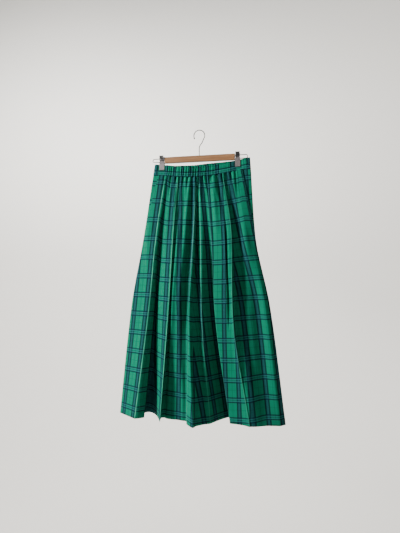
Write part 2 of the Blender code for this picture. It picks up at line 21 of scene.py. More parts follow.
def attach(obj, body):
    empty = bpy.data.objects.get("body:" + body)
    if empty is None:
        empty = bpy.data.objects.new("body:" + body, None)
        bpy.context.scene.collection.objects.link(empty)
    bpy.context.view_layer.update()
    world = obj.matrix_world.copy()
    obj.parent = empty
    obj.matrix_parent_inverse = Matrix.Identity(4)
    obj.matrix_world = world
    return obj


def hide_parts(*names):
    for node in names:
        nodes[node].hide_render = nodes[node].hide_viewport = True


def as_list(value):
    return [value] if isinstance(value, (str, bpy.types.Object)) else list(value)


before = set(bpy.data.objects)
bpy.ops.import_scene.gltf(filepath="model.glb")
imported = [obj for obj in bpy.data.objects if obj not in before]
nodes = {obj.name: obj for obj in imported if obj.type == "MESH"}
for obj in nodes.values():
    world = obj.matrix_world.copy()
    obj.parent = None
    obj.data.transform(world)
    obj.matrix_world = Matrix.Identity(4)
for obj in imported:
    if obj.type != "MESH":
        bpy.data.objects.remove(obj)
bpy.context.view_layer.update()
MM = 0.001

# %% [markdown]
# ## The camera
#
# The picture is 400 x 533 pixels, seen level from about the middle of the height and 11
# degrees to the right of the front. A focal length of 400 pixels on a frame 533 pixels tall
# is a 27 mm lens on a 36 mm sensor, because Blender's sensor width belongs to the long side.

# %% Camera
VIEW_AZIMUTH = math.radians(11)
VIEW_DISTANCE = 1.365  # from the hanger's middle
VIEW_HEIGHT = -0.464
VIEW_SIDESTEP = 0.0025  # the hanger stands this far left of the picture's middle


def new_object(name, data):
    """An object in the scene that shows this data."""
    made = bpy.data.objects.new(name, data)
    bpy.context.scene.collection.objects.link(made)
    return made


camera = new_object("camera", bpy.data.cameras.new("camera"))
bpy.context.scene.camera = camera
camera.data.lens, camera.data.sensor_width = 27.0, 36.0
forward = Vector((-math.sin(VIEW_AZIMUTH), math.cos(VIEW_AZIMUTH), 0.0))
sideways = Vector((math.cos(VIEW_AZIMUTH), math.sin(VIEW_AZIMUTH), 0.0))
camera.location = sideways * VIEW_SIDESTEP - forward * VIEW_DISTANCE + Vector((0, 0, VIEW_HEIGHT))
camera.rotation_euler = (math.pi / 2, 0.0, VIEW_AZIMUTH)
print("camera at", [round(v, 3) for v in camera.location])

# %% [markdown]
# ## The skirt's measures
#
# A skirt like this is two widths of cloth, pressed into uneven pleats and gathered onto an
# elastic casing. The tables below are the skirt's own pattern. Each row is one fold line: where
# it stands at the waist seam, the hip, the knee and the hem, and how far it stands out from
# the hanger's plane. They are the same measures that the solids were made from, so that the
# fine cloth lies where the solids are. Some folds were pressed to a sharp edge, and a
# painted highlight along the edge stands for the light it catches.

# %% The pattern
HEM_Z = -982 * MM
GAP = 0.3 * MM
LEVELS = (0.0, 0.26, 0.54, 1.0)  # seam, hip, knee and hem, as shares of the length
GATHER_PITCH, GATHER_DEPTH, GATHER_COLUMNS = 16 * MM, 3.4 * MM, 4
BAND = (  # x, front_top, back_top, seam, out   (millimetres)
    (-163, -108.5, -108.5, -146, 2.8),
    (-131, -111.5, -110.5, -148.5, 2.8),
    (-85, -118.5, -115, -154, 6),
    (-25, -125, -115, -158.5, 9),
    (30, -125.5, -111.5, -157, 9),
    (85, -116, -110, -150, 6),
    (131, -108, -107.7, -142.5, 2.8),
    (175, -100, -100, -138.5, 2.8),
)
SIDE_LEFT = (  # name, x_seam, x_hip, x_knee, x_hem, out_knee, out_hem  (millimetres)
    ("side left", -163, -198, -242, -285.6, 0.15, 0.15),
    ("side left turn", -163, -198, -242, -285.6, 1.2, 1.2),
    ("side left round", -160.5, -195.5, -239, -282, 4, 4.5),
)
SIDE_RIGHT = (  # the same columns, here and in the next two tables
    ("side right round", 172.5, 187, 234.5, 285, 4, 4.5),
    ("side right turn", 175, 189.5, 237.5, 288.5, 1.2, 1.2),
    ("side right", 175, 189.5, 237.5, 288.5, 0.15, 0.15),
)
FRONT_FOLDS = (
    *SIDE_LEFT,
    ("left strip", -143, -174, -206, -250, 16, 25),
    ("pleat A crest", -120, -149, -169, -215, 29, 46),
    ("pleat A edge", -112, -142.5, -156, -187, 22, 35),
    ("pleat A under", -108.5, -141, -158, -201, 0, -10),
    ("pleat A back", -102, -134, -153, -183, -4, -24),
    ("recess A", -94, -121, -142, -153, 11, 0),
    ("pleat B crest", -73, -88, -99, -123.5, 34, 56),
    ("pleat B under", -67.5, -85.5, -98.5, -127, 15, 21),
    ("recess B", -57, -74, -91, -102, 13, 27),
    ("swell B", -38, -50, -64, -62, 25, 28),
    ("recess C", -22, -33, -41, -42, 10, 23),
    ("pleat C edge", -10, -18, -30, -32, 33, 56),
    ("pleat C crest", -5.5, -13.5, -25, -5.5, 41, 86),
    ("pleat C far side", -3, -9, -16, 4, 27, 68),
    ("pleat D", 1, 7, 12.5, 45, 29, 40),
    ("pleat D back", 14, 33, 48, 97, -8, -27),
    ("pleat E under", 18.5, 40, 57, 113, -3, -6),
    ("pleat E edge", 26.5, 44, 55.5, 108.5, 20, 27),
    ("crease F", 56, 86, 108, 151.5, 29, 33),
    ("pleat F crest", 80, 113, 118, 174.5, 35, 43),
    ("recess F", 87, 117, 124, 190, 8, 29),
    ("right panel", 128, 153, 190, 226, 18, 31),
    *SIDE_RIGHT,
)
BACK_FOLDS = (
    *SIDE_LEFT,
    ("left strip", -136, -166, -200, -242, 19, 27),
    ("pleat G crest", -112, -131, -158, -192, 28, 40),
    ("pleat G under", -106.5, -128, -160, -201, 19, 28),
    ("recess G", -96, -115, -140, -172, 19, 29),
    ("pleat H crest", -60, -72, -87, -108, 35, 47),
    ("pleat H under", -54.5, -69, -89, -117, 26, 35),
    ("recess H", -44, -56, -70, -88, 25, 35),
    ("middle left", -17, -20, -26, -34, 31, 42),
    ("middle right", 23, 27, 31, 38, 32, 43),
    ("recess I", 50, 58, 71, 90, 25, 34),
    ("pleat I under", 60.5, 71, 90, 119, 26, 35),
    ("pleat I crest", 66, 74, 88, 110, 36, 48),
    ("recess J", 106, 118, 143, 172, 20, 30),
    ("pleat J under", 116.5, 130, 161, 201, 20, 29),
    ("pleat J crest", 122, 133, 158, 192, 29, 41),
    ("right strip", 147, 163, 200, 243, 19, 27),
    *SIDE_RIGHT,
)
POCKET_INSET = (19 * MM, 27 * MM)  # at the waist, left and right
POCKET_UNDERLAP, POCKET_STEP = 14 * MM, 1.8 * MM
POCKET_END, HIP_END = 0.235, 0.222  # the mouths and the hip pieces end at these shares of the length
PRESSED = {  # the folds with a sharp edge, and how strong each edge's painted highlight is
    "pleat A crest": 1.0, "pleat A edge": 0.0, "pleat B crest": 1.0, "pleat C edge": 0.8,
    "pleat D": 0.45, "pleat E edge": 0.22, "pleat F crest": 0.55,
    "pleat G crest": 0.7, "pleat H crest": 0.5, "pleat I crest": 0.6, "pleat J crest": 0.7,
}
print("pattern:", len(FRONT_FOLDS), "fold lines in front,", len(BACK_FOLDS), "behind")

# %% [markdown]
# ## Smooth curves through few values
#
# Cloth has no corners except where it was pressed. `monotone` reads a table between its rows
# without overshooting, and `plan_curve` runs a soft curve through the fold lines' plan at one
# height. Where a fold was pressed, its tangent is cut to a quarter, which makes the bend tighter.

# %% Curves
PRESSED_TANGENT = 0.25  # as a share of a soft fold's


def monotone(xs, ys, x):
    """A smooth curve through (xs, ys) that never overshoots them, read at x."""
    if x <= xs[0]:
        return ys[0]
    if x >= xs[-1]:
        return ys[-1]
    steps = [xs[i + 1] - xs[i] for i in range(len(xs) - 1)]
    slopes = [(ys[i + 1] - ys[i]) / steps[i] for i in range(len(steps))]
    tangents = [slopes[0]]
    for before, after in zip(slopes, slopes[1:]):
        same_way = before * after > 0
        tangents.append(2 * before * after / (before + after) if same_way else 0.0)
    tangents.append(slopes[-1])
    i = max(k for k in range(len(steps)) if xs[k] <= x)
    s = (x - xs[i]) / steps[i]
    value = ys[i] + (ys[i + 1] - ys[i]) * s * s * (3 - 2 * s)
    return value + steps[i] * (s * (1 - s) ** 2 * tangents[i] - s * s * (1 - s) * tangents[i + 1])


def smoothstep(low, high, x):
    s = np.clip((x - low) / (high - low), 0.0, 1.0)
    return s * s * (3 - 2 * s)


def band_values(xs, column):
    places, values = ([row[k] * MM for row in BAND] for k in (0, column))
    return np.array([monotone(places, values, x) for x in xs])


def fold_plan(folds, t):
    """The plan of a panel's folds at t, the share of the way down: rows of (x, out)."""
    plan = []
    for fold, seam_out in zip(folds, band_values([fold[1] * MM for fold in folds], 4)):
        xs = [value * MM for value in fold[1:5]]
        if fold[0].startswith("side"):
            seam_out = min(seam_out, fold[5] * MM)
        outs = (seam_out, fold[5] * MM, fold[6] * MM)
        plan.append((monotone(LEVELS, xs, t), monotone((0.0, LEVELS[2], 1.0), outs, t)))
    return np.array(plan)


def gaps(points, axis):
    """Distances between neighbouring points."""
    return np.linalg.norm(np.diff(points, axis=axis), axis=-1)


def plan_curve(folds, plan, c):
    """The plan's soft curve, read at every c, a fold's index and a share of the way on."""
    legs = gaps(plan, 0)
    tangents = np.empty_like(plan)
    tangents[0], tangents[-1] = (plan[1] - plan[0]) / legs[0], (plan[-1] - plan[-2]) / legs[-1]
    tangents[1:-1] = (plan[2:] - plan[:-2]) / (legs[1:] + legs[:-1])[:, None]
    tangents *= np.array([PRESSED_TANGENT if fold[0] in PRESSED else 1.0 for fold in folds])[:, None]
    i = np.minimum(c.astype(int), len(plan) - 2)
    s = (c - i)[:, None]
    a, b, leg = plan[i], plan[i + 1], legs[i][:, None]
    pull = tangents[i] * leg * s * (1 - s) ** 2 - tangents[i + 1] * leg * s * s * (1 - s)
    return a + (b - a) * s * s * (3 - 2 * s) + pull


def arc_length(points):
    return np.concatenate([[0.0], np.cumsum(gaps(points, 0))])


print("hem, front panel:", round(arc_length(fold_plan(FRONT_FOLDS, 1.0))[-1], 3), "m of cloth")

# %% [markdown]
# ## Where the shell's points stand
#
# A fine grid follows each panel: rows down it, close together under the waist seam where the
# gathers are, and columns across it, close together at the pressed edges and at one short tuck.

# %% Rows and columns
GATHER_ZONE = 0.12  # share of the length with close rows
FRONT_STEP = 3.6 * MM  # between columns, at the hem
BACK_STEP = FRONT_STEP * 1.25
EDGE_COLUMNS = (0.8 * MM, 1.7 * MM, 2.8 * MM)  # more columns on both sides of a pressed edge
TUCK_COLUMNS = {FRONT_FOLDS: (20.66, 21.70, 0.018)}  # from c, to c, step


def rows_down(fine, coarse):
    """Shares of the length: fine steps in the gathers, coarse ones below."""
    close = np.linspace(0, GATHER_ZONE, fine, endpoint=False)
    return np.concatenate([close, np.linspace(GATHER_ZONE, 1, coarse)])


def columns_across(folds, step):
    """Fold coordinates of the columns, evenly spaced at the hem and closer at pressed edges."""
    hem, knee = fold_plan(folds, 1.0), fold_plan(folds, LEVELS[2])
    columns = [0.0]
    for i in range(len(folds) - 1):
        leg = max(np.linalg.norm(hem[i + 1] - hem[i]), np.linalg.norm(knee[i + 1] - knee[i]))
        count = max(2, round(leg / step))
        inner = [i + j / count for j in range(1, count + 1)]
        for end, sign in ((i, 1), (i + 1, -1)):
            if folds[end][0] in PRESSED:
                inner = [c for c in inner if abs(c - end) * leg > EDGE_COLUMNS[-1] or c == i + 1]
                inner += [end + sign * d / leg for d in EDGE_COLUMNS if d < 0.45 * leg]
        columns += inner
    if folds in TUCK_COLUMNS:
        columns += list(np.arange(*TUCK_COLUMNS[folds]))
    return np.array(sorted(set(round(c, 6) for c in columns)))


def gather_index(folds, c):
    """The solids' own columns counted along c, on which the gathers' waves run."""
    spacing = GATHER_PITCH / GATHER_COLUMNS
    stations = [0.0]
    for i, (fold, following) in enumerate(zip(folds, folds[1:])):
        count = max(1, round((following[1] - fold[1]) * MM / spacing))
        if "turn" not in fold[0] + following[0]:
            count = max(2, count)
        stations += [i + (j + 1) / count for j in range(count)]
    return np.interp(c, stations, np.arange(len(stations)))


def gathers(index, t, share):
    """How far the gathers push each column in or out, fading unevenly below the seam."""
    wave = GATHER_DEPTH * np.sin(math.pi / 2 * index)
    uneven = 0.78 + 0.22 * np.sin(1.7 * index + 0.6)
    reach = 0.11 + 0.06 * np.sin(0.9 * index + 2.0)
    return wave * uneven * (1 - smoothstep(0.0, reach, t)) * share


front_columns = columns_across(FRONT_FOLDS, FRONT_STEP)
back_columns = columns_across(BACK_FOLDS, BACK_STEP)
front_rows, back_rows = rows_down(fine=26, coarse=104), rows_down(fine=20, coarse=84)
print(f"grid in front: {len(front_rows)} x {len(front_columns)},",
      f"behind: {len(back_rows)} x {len(back_columns)}")

# %% [markdown]
# ## How the plaid lies on the folds
#
# The cloth is woven flat, so its lengthwise stripes keep their spacing wherever the cloth is
# seen, and the folds swallow the rest. Each seen panel is therefore measured from one fold
# line: the table says how far past a dark band's middle that fold line lies at each level.
# Between the seen panels the cloth runs on through the folds. `drop` and `tilt` say how the
# crosswise stripes hang on that panel.

# %% The plaid's layout
WARP_PITCH, WEFT_PITCH = 49 * MM, 64.8 * MM
WEFT_PHASE = 34.5 * MM  # the first crosswise band's middle, below the waist seam
FRONT_PANELS = (  # first, last, measured from, seam, hip, knee, hem (mm), take_up, drop (mm), tilt
    ("side left", "pleat A edge", "pleat A crest", 12, 12, 12.5, 12, 1, 12, 0.06),
    ("recess A", "pleat B crest", "pleat B crest", 15, 15, 15, 14, 1, 4, 0),
    ("recess B", "pleat C crest", "pleat C edge", 56, 53, 54, 60, 1, 9, 0),
    ("pleat C far side", "pleat D back", "pleat D back", 6, 6, 6, 7, 1, 4, 0),
    ("pleat E edge", "pleat F crest", "pleat E edge", -50, -48, -37, 12, 1.12, 0, 0),
    ("recess F", "side right", "right panel", 28, 11.5, -5, -11, 1, 0, -0.04),
)
BACK_PANELS = (
    ("side left", "pleat G crest", "pleat G crest", 16, 16, 16, 16, 1, 5, 0),
    ("recess G", "pleat H crest", "pleat H crest", 20, 20, 20, 22, 1, 3, 0),
    ("recess H", "recess I", "middle left", 8, 8, 8, 8, 1, 0, 0),
    ("pleat I crest", "recess J", "pleat I crest", -14, -14, -15, -16, 1, 2, 0),
    ("pleat J crest", "side right", "pleat J crest", -20, -20, -22, -24, 1, 4, 0),
)


def fold_index(folds, name):
    return [fold[0] for fold in folds].index(name)


def cloth_across(folds, panels, c, arc, t):
    """Distance across the cloth, and the crosswise stripes' shift, at each column of a row."""
    knots_c, knots_u, knots_drop = [], [], []
    shift = 0.0
    for n, (first, last, anchor, *measures, take_up, drop, tilt) in enumerate(panels):
        i, j, k = (fold_index(folds, name) for name in (first, last, anchor))
        u_anchor = monotone(LEVELS, [m * MM for m in measures], t)
        inside = np.unique(np.concatenate([[i, j], c[(c > i) & (c < j)]]))
        u = u_anchor + (np.interp(inside, c, arc) - np.interp(k, c, arc)) * take_up
        if n:
            shift += REPEATS[folds][n - 1] * WARP_PITCH
        knots_c.append(inside)
        knots_u.append(u + shift)
        knots_drop.append(drop * MM + tilt * (u - u_anchor))
    knots_c, knots_u, knots_drop = (np.concatenate(knots) for knots in (knots_c, knots_u, knots_drop))
    return np.interp(c, knots_c, knots_u), np.interp(c, knots_c, knots_drop)


def hidden_repeats(folds, panels, columns):
    """Whole repeats that each hidden fold takes up, from its own length at knee height."""
    arc = arc_length(plan_curve(folds, fold_plan(folds, LEVELS[2]), columns))
    repeats, before = [], None
    for first, last, anchor, _, _, at_knee, _, take_up, _, _ in panels:
        places = [fold_index(folds, name) for name in (first, last, anchor)]
        start, end, measured_from = (float(s) for s in np.interp(places, columns, arc))
        start_u, end_u = (at_knee * MM + (s - measured_from) * take_up for s in (start, end))
        if before:
            repeats.append(round((start - before[0] - (start_u - before[1])) / WARP_PITCH))
        before = (end, end_u)
    return repeats


REPEATS = {
    FRONT_FOLDS: hidden_repeats(FRONT_FOLDS, FRONT_PANELS, front_columns),
    BACK_FOLDS: hidden_repeats(BACK_FOLDS, BACK_PANELS, back_columns),
}
print("whole stripes in the front's hidden folds:", REPEATS[FRONT_FOLDS])

# %% [markdown]
# ## Creases
#
# Hung cloth is never smooth. The main creases are listed one by one, each from one fold
# coordinate and height to another, as a soft ridge (plus) or trough (minus), uneven in
# length, depth and spacing. A slow noise adds the small waviness between them.

# %% Creases
FRONT_CREASES = (  # from c, from t, to c, to t, depth (mm), half width (mm)
    (2.25, 0.17, 3.25, 0.4, 3.5, 8), (3.2, 0.14, 3.9, 0.3, -2.5, 7),
    (3.6, 0.45, 3.4, 0.8, 1.6, 9), (5, 0.4, 5, 1.15, -8, 13),
    (8.3, -0.04, 8.45, 0.34, -3.5, 7), (8.75, -0.03, 8.7, 0.2, 3, 6),
    (8.75, 0.5, 8.5, 0.92, 1.6, 8), (9.4, -0.04, 9.3, 0.16, -3, 6),
    (10.55, 0.16, 10.5, 1.04, -16, 3.6), (11.05, 0.16, 10.95, 0.84, 17, 13),
    (11.6, -0.04, 11.7, 0.3, -4, 7), (11.6, 0.52, 11.8, 0.8, -1.6, 6),
    (11.75, 0.28, 11.85, 0.86, 6, 20), (12.1, 0.7, 12.9, 1.1, 5, 12),
    (12.3, -0.05, 12.2, 0.38, 3, 7), (12.95, 0.5, 12.8, 1.08, 12, 14),
    (13.3, -0.04, 13.2, 0.42, -7, 9), (15.9, -0.06, 16.2, 0.5, -12, 7),
    (16.42, 0.08, 16.46, 1.02, -14, 11), (20.25, -0.04, 20.3, 0.3, -4.5, 7),
    (20.72, -0.05, 20.6, 0.24, 3.5, 7), (21.26, 0.2, 20.7, 0.6, 2.6, 3),
    (21.3, -0.03, 21.38, 0.2, -4, 6), (21.42, 0.18, 20.84, 0.62, -11, 3.2),
    (21.5, 0.58, 21.3, 0.95, 1.8, 8), (21.62, 0.24, 21.05, 0.58, 2, 5),
    (22, 0.3, 22, 0.86, 5, 9), (22.75, 0.46, 22.8, 1.06, 13, 10),
    (23, -0.04, 23, 0.24, -3.5, 7), (23.22, 0.46, 23.22, 1.06, 17, 14),
    (23.45, 0.06, 23.5, 0.56, -8, 13), (23.55, -0.05, 23.7, 0.22, 3, 6),
    (24.05, 0.08, 24.3, 0.54, 4, 11), (24.1, 0.32, 24.05, 1.06, -16, 20),
    (24.8, 0.3, 24.82, 1.15, 9, 15),
)
BACK_CREASES = (
    (2.5, 0.12, 3.3, 0.42, 3, 9), (3.7, 0.3, 3.5, 0.85, -2, 9),
    (6.5, 0.1, 6.4, 0.48, 2.2, 8), (6.7, 0.45, 6.5, 0.95, -2.2, 9),
    (9.6, 0.08, 9.9, 0.4, -2.6, 9), (10.4, 0.15, 10.2, 0.66, 2.4, 11),
    (10.8, 0.48, 10.6, 1, -2.2, 12), (11.6, 0.1, 11.5, 0.52, -2.4, 9),
    (14.4, 0.18, 14.5, 0.7, 2.2, 9), (14.7, 0.55, 14.6, 1, -1.8, 9),
    (18.2, 0.1, 18, 0.46, 2.4, 9), (18.3, 0.48, 18.2, 0.94, -1.8, 10),
)
WAVE_DEPTH = 1.5 * MM


def creased(creases, c, arc, t):
    """How far the creases push each column of a row in or out."""
    push = np.zeros_like(c)
    for c0, t0, c1, t1, depth, width in creases:
        share = (t - t0) / (t1 - t0)
        if 0 < share < 1:
            middle = np.interp(c0 + (c1 - c0) * share, c, arc)
            strength = math.sin(math.pi * share) ** 0.7
            push += depth * MM * strength * np.exp(-((arc - middle) / (width * MM)) ** 2)
    return push


def waviness(u, z, seed):
    """A slow noise, long down the cloth and short across it."""
    return WAVE_DEPTH * np.array([noise.noise((x * 16.0 + seed, z * 4.5, seed)) for x in u])


print(len(FRONT_CREASES), "creases in front,", len(BACK_CREASES), "behind")

# %% [markdown]
# ## A cloth object
#
# Each panel is an open grid of points, thickened by a Solidify modifier. Two things ride on
# its points besides their place: the cloth's own coordinates in metres, as a UV map, which
# the plaid is woven on, and how near a pressed edge is, where a painted highlight stands for
# the light that the edge catches.

# %% From grid to cloth
CLOTH_THICKNESS = 0.9 * MM
# how far the pressed edges' painted highlight reaches
HIGHLIGHT_REACH = 1.3 * MM


def cloth_piece(name, points, across_down, pressed, facing, thickness=CLOTH_THICKNESS):
    """A thickened grid. points is rows x columns x 3, across_down is rows x columns x 2."""
    rows, columns = points.shape[:2]
    index = np.arange(rows * columns).reshape(rows, columns)
    corners = [index[:-1, :-1], index[1:, :-1], index[1:, 1:], index[:-1, 1:]]
    if facing > 0:
        corners.reverse()
    quads = np.stack(corners, axis=-1).reshape(-1, 4)
    mesh = bpy.data.meshes.new(name)
    mesh.from_pydata(points.reshape(-1, 3).tolist(), [], quads.tolist())
    layer = mesh.uv_layers.new(name="cloth")
    corner_places = across_down.reshape(-1, 2)[quads.reshape(-1)]
    layer.data.foreach_set("uv", corner_places.astype(np.float32).ravel())
    # how near a pressed edge each point is, for the painted highlight there
    wear_and_highlight = mesh.attributes.new("pressed", "FLOAT", "POINT")
    wear_and_highlight.data.foreach_set("value", pressed.astype(np.float32).ravel())
    mesh.shade_smooth()
    piece = new_object(name, mesh)
    shell = piece.modifiers.new("thickness", "SOLIDIFY")
    shell.thickness, shell.offset, shell.use_even_offset = thickness, 0.0, True
    return piece


def edge_highlight(folds, c, arc):
    """The painted highlight along pressed edges: 1 on an edge, fading to 0 within a few millimetres of it.
    """
    wear_and_highlight = np.zeros_like(c)
    for i, fold in enumerate(folds):
        if fold[0] in PRESSED:
            away = (arc - np.interp(i, c, arc)) / HIGHLIGHT_REACH
            wear_and_highlight = np.maximum(wear_and_highlight, PRESSED[fold[0]] * np.exp(-away ** 2))
    return wear_and_highlight


# %% [markdown]
# ## The front and back panels
#
# Each row of a panel's grid is the plan of its folds at that height. The gathers, the creases
# and the slow waviness push it in or out, and all of them calm down at the waist seam and the
# side seams, where the cloth is sewn. The front panel ends at the slanted pocket mouths, and
# there it lies a little outside the hip pieces.

# %% The front and back panels
SQUEEZED = 3  # folds at each side whose columns move in, beside a pocket mouth
RAISED_NEAR, RAISED_UNTIL = (16 * MM, 40 * MM), (HIP_END, 0.25)  # fading from the mouth and down
GATHERED_FROM_MOUTH, GATHERED_FROM_SIDE = (14 * MM, 30 * MM), (3 * MM, 18 * MM)
# the third pair: the shares of the length over which the pressed edges' painted highlight fades in
CALM_SIDE, CALM_SEAM, HIGHLIGHT_FROM = (2 * MM, 20 * MM), (0.0, 0.05), (0.0, 0.06)


def pocket_mouths(plan, t):
    """Where the two slanted pocket mouths cross the front panel at t."""
    left, right = (inset * max(0.0, 1 - t / POCKET_END) for inset in POCKET_INSET)
    return plan[0, 0] + left, plan[-1, 0] - right


def column_at_x(plan, x, low, high):
    """The front panel's fold coordinate between low and high whose curve passes x."""
    c = np.linspace(low, high, 400)
    return float(np.interp(x, plan_curve(FRONT_FOLDS, plan, c)[:, 0], c))


def between_mouths(raw, plan, t):
    """The front panel's columns at t, the outer ones squeezed in between the pocket mouths."""
    if t >= POCKET_END:
        return raw
    left, right = pocket_mouths(plan, t)
    inner = len(FRONT_FOLDS) - 1 - SQUEEZED
    start = column_at_x(plan, left, 1, SQUEEZED)
    end = column_at_x(plan, right, inner, inner + SQUEEZED - 1)
    c = np.where(raw < SQUEEZED, start + (SQUEEZED - start) * raw / SQUEEZED, raw)
    return np.where(raw > inner, inner + (end - inner) * (raw - inner) / SQUEEZED, c)


def seam_heights(folds, c):
    """Height of the waist seam above each column."""
    return band_values(plan_curve(folds, fold_plan(folds, 0.0), c)[:, 0], 3) - GAP


def panel_grid(folds, panels, creases, raw, rows, facing, seed):
    """The points, cloth coordinates and edge wear of one panel."""
    front = facing < 0
    points, cloth, wear_and_highlight = [], [], []
    index = gather_index(folds, raw) + (not front)
    full = np.linspace(0, len(folds) - 1, 600)
    top = seam_heights(folds, raw)
    for t in rows:
        plan = fold_plan(folds, t)
        c = between_mouths(raw, plan, t) if front else raw
        curve = plan_curve(folds, plan, c)
        edges = pocket_mouths(plan, t) if front else plan[[0, -1], 0]
        from_edge = np.minimum(curve[:, 0] - edges[0], edges[1] - curve[:, 0])
        raised = (1 - smoothstep(*RAISED_NEAR, from_edge)) * (1 - smoothstep(*RAISED_UNTIL, t)) * front
        share = smoothstep(*(GATHERED_FROM_MOUTH if front else GATHERED_FROM_SIDE), from_edge)
        full_arc = arc_length(plan_curve(folds, plan, full))
        arc = np.interp(c, full, full_arc)
        u, drop = cloth_across(folds, panels, c, arc, t)
        z = top + (HEM_Z - top) * t
        calm = smoothstep(*CALM_SIDE, np.minimum(arc, full_arc[-1] - arc)) * smoothstep(*CALM_SEAM, t)
        push = (creased(creases, c, arc, t) + waviness(u, z[0], seed)) * calm
        out = curve[:, 1] + POCKET_STEP * raised + gathers(index, t, share) + push
        points.append(np.stack([curve[:, 0], facing * out, z], axis=-1))
        cloth.append(np.stack([u, top - z + drop], axis=-1))
        # painted highlight along the pressed edges, fading in below the seam
        wear_and_highlight.append(edge_highlight(folds, c, arc) * smoothstep(*HIGHLIGHT_FROM, t))
    return np.array(points), np.array(cloth), np.array(wear_and_highlight)


front_grid = panel_grid(
    FRONT_FOLDS, FRONT_PANELS, FRONT_CREASES, front_columns, front_rows, facing=-1, seed=3.0)
back_grid = panel_grid(
    BACK_FOLDS, BACK_PANELS, BACK_CREASES, back_columns, back_rows, facing=1, seed=11.0)
skirt_front = cloth_piece("skirt_front_cloth", *front_grid, facing=-1)
skirt_back = cloth_piece("skirt_back_cloth", *back_grid, facing=1)
print("panels:", len(skirt_front.data.vertices), "and", len(skirt_back.data.vertices), "points")

# %% [markdown]
# ## The pockets' hip pieces
#
# The front panel's upper corners are cut away on a slant. A small piece of the same cloth
# fills each corner and runs on under the slanted mouth, 1.8 mm behind the panel.

# %% Hip pieces
HIP_ROWS, HIP_SIDE_COLUMNS, HIP_INNER_COLUMNS = 40, 7, 16
HIP_SIDE_FOLDS = 2  # the side's own turn lies within these folds
HIP_WEFT_SHIFT = 6 * MM


def hip_columns(side, plan, t):
    """Columns from the side seam to where the hip piece ends under the pocket mouth."""
    last = len(FRONT_FOLDS) - 1
    left, right = pocket_mouths(plan, t)
    if side == "left":
        seam, turned, inner = 0, HIP_SIDE_FOLDS, column_at_x(plan, left + POCKET_UNDERLAP, 1, 5)
    else:
        inner = column_at_x(plan, right - POCKET_UNDERLAP, last - 4, last - 1)
        seam, turned = last, last - HIP_SIDE_FOLDS
    turn = np.linspace(seam, turned, HIP_SIDE_COLUMNS)[:-1]
    return np.sort(np.concatenate([turn, np.linspace(turned, inner, HIP_INNER_COLUMNS)]))


def hip_grid(side, u_offset):
    points, cloth = [], []
    for t in np.linspace(0, HIP_END, HIP_ROWS):
        plan = fold_plan(FRONT_FOLDS, t)
        c = hip_columns(side, plan, t)
        curve = plan_curve(FRONT_FOLDS, plan, c)
        arc = arc_length(curve)
        top = seam_heights(FRONT_FOLDS, c)
        z = top + (HEM_Z - top) * t
        u = arc + u_offset if side == "left" else arc - arc[-1] + u_offset
        points.append(np.stack([curve[:, 0], -curve[:, 1], z], axis=-1))
        cloth.append(np.stack([u, top - z + HIP_WEFT_SHIFT], axis=-1))
    return np.array(points), np.array(cloth), np.zeros((len(points), len(points[0])))


hip_left_grid, hip_right_grid = hip_grid("left", u_offset=14 * MM), hip_grid("right", u_offset=20 * MM)
hip_left = cloth_piece("hip_left_cloth", *hip_left_grid, facing=-1)
hip_right = cloth_piece("hip_right_cloth", *hip_right_grid, facing=-1)
print("hip pieces:", len(hip_left.data.vertices), "points each")

# %% [markdown]
# ## The elastic casing
#
# The waistband is a folded casing with two sewn channels of elastic. The elastic draws the
# cloth into fine upright gathers, close in the middle and nearly flat at the clips, and each
# channel puffs out between its stitch lines. Its lower edge laps over the panels by a little
# more than the cloth's thickness, so that no light passes through the seam.

# %% Waistband
CASING_FULLNESS = 1.35  # the elastic gathers so many lengths of cloth into one (estimated)
BAND_TOP_ENDS, BAND_SEAM_ENDS = (-157 * MM, 172 * MM), (-163 * MM, 175 * MM)
CASING_PITCH, CASING_DEPTH = 8.8 * MM, 1.7 * MM  # the fine gathers, closer than the solid's
CASING_PUFF, STITCH_DIP = 1.2 * MM, 0.8 * MM  # a channel stands out, and a stitch line dips in
CASING_STITCHES, STITCH_REACH = (0.10, 0.58), 0.03  # shares of the casing's height
CASING_ROWS, CASING_THICKNESS = 46, 1.4 * MM
CASING_BAND_UP = 7.5 * MM  # a crosswise band's middle runs this far above the seam
CASING_LAP = 1.4 * MM  # its lower edge hangs this far below the seam, over the panels
CASING_ENDS = 8 * MM  # at each side, with no gathers
CLIP_X, CLIP_CLEAR = 131.5 * MM, (11 * MM, 20 * MM)  # the cloth lies flat in the clips' jaws
CASING_TURN = np.array(((0.0, 0.15), (0.0, 1.0), (0.7, 2.2), (2.6, 2.8))) * MM


def most_gathered(x):
    """1 in the casing's middle, where the gathers are close, and 0 towards its sides."""
    return smoothstep(-150 * MM, -115 * MM, x) * (1 - smoothstep(40 * MM, 80 * MM, x))


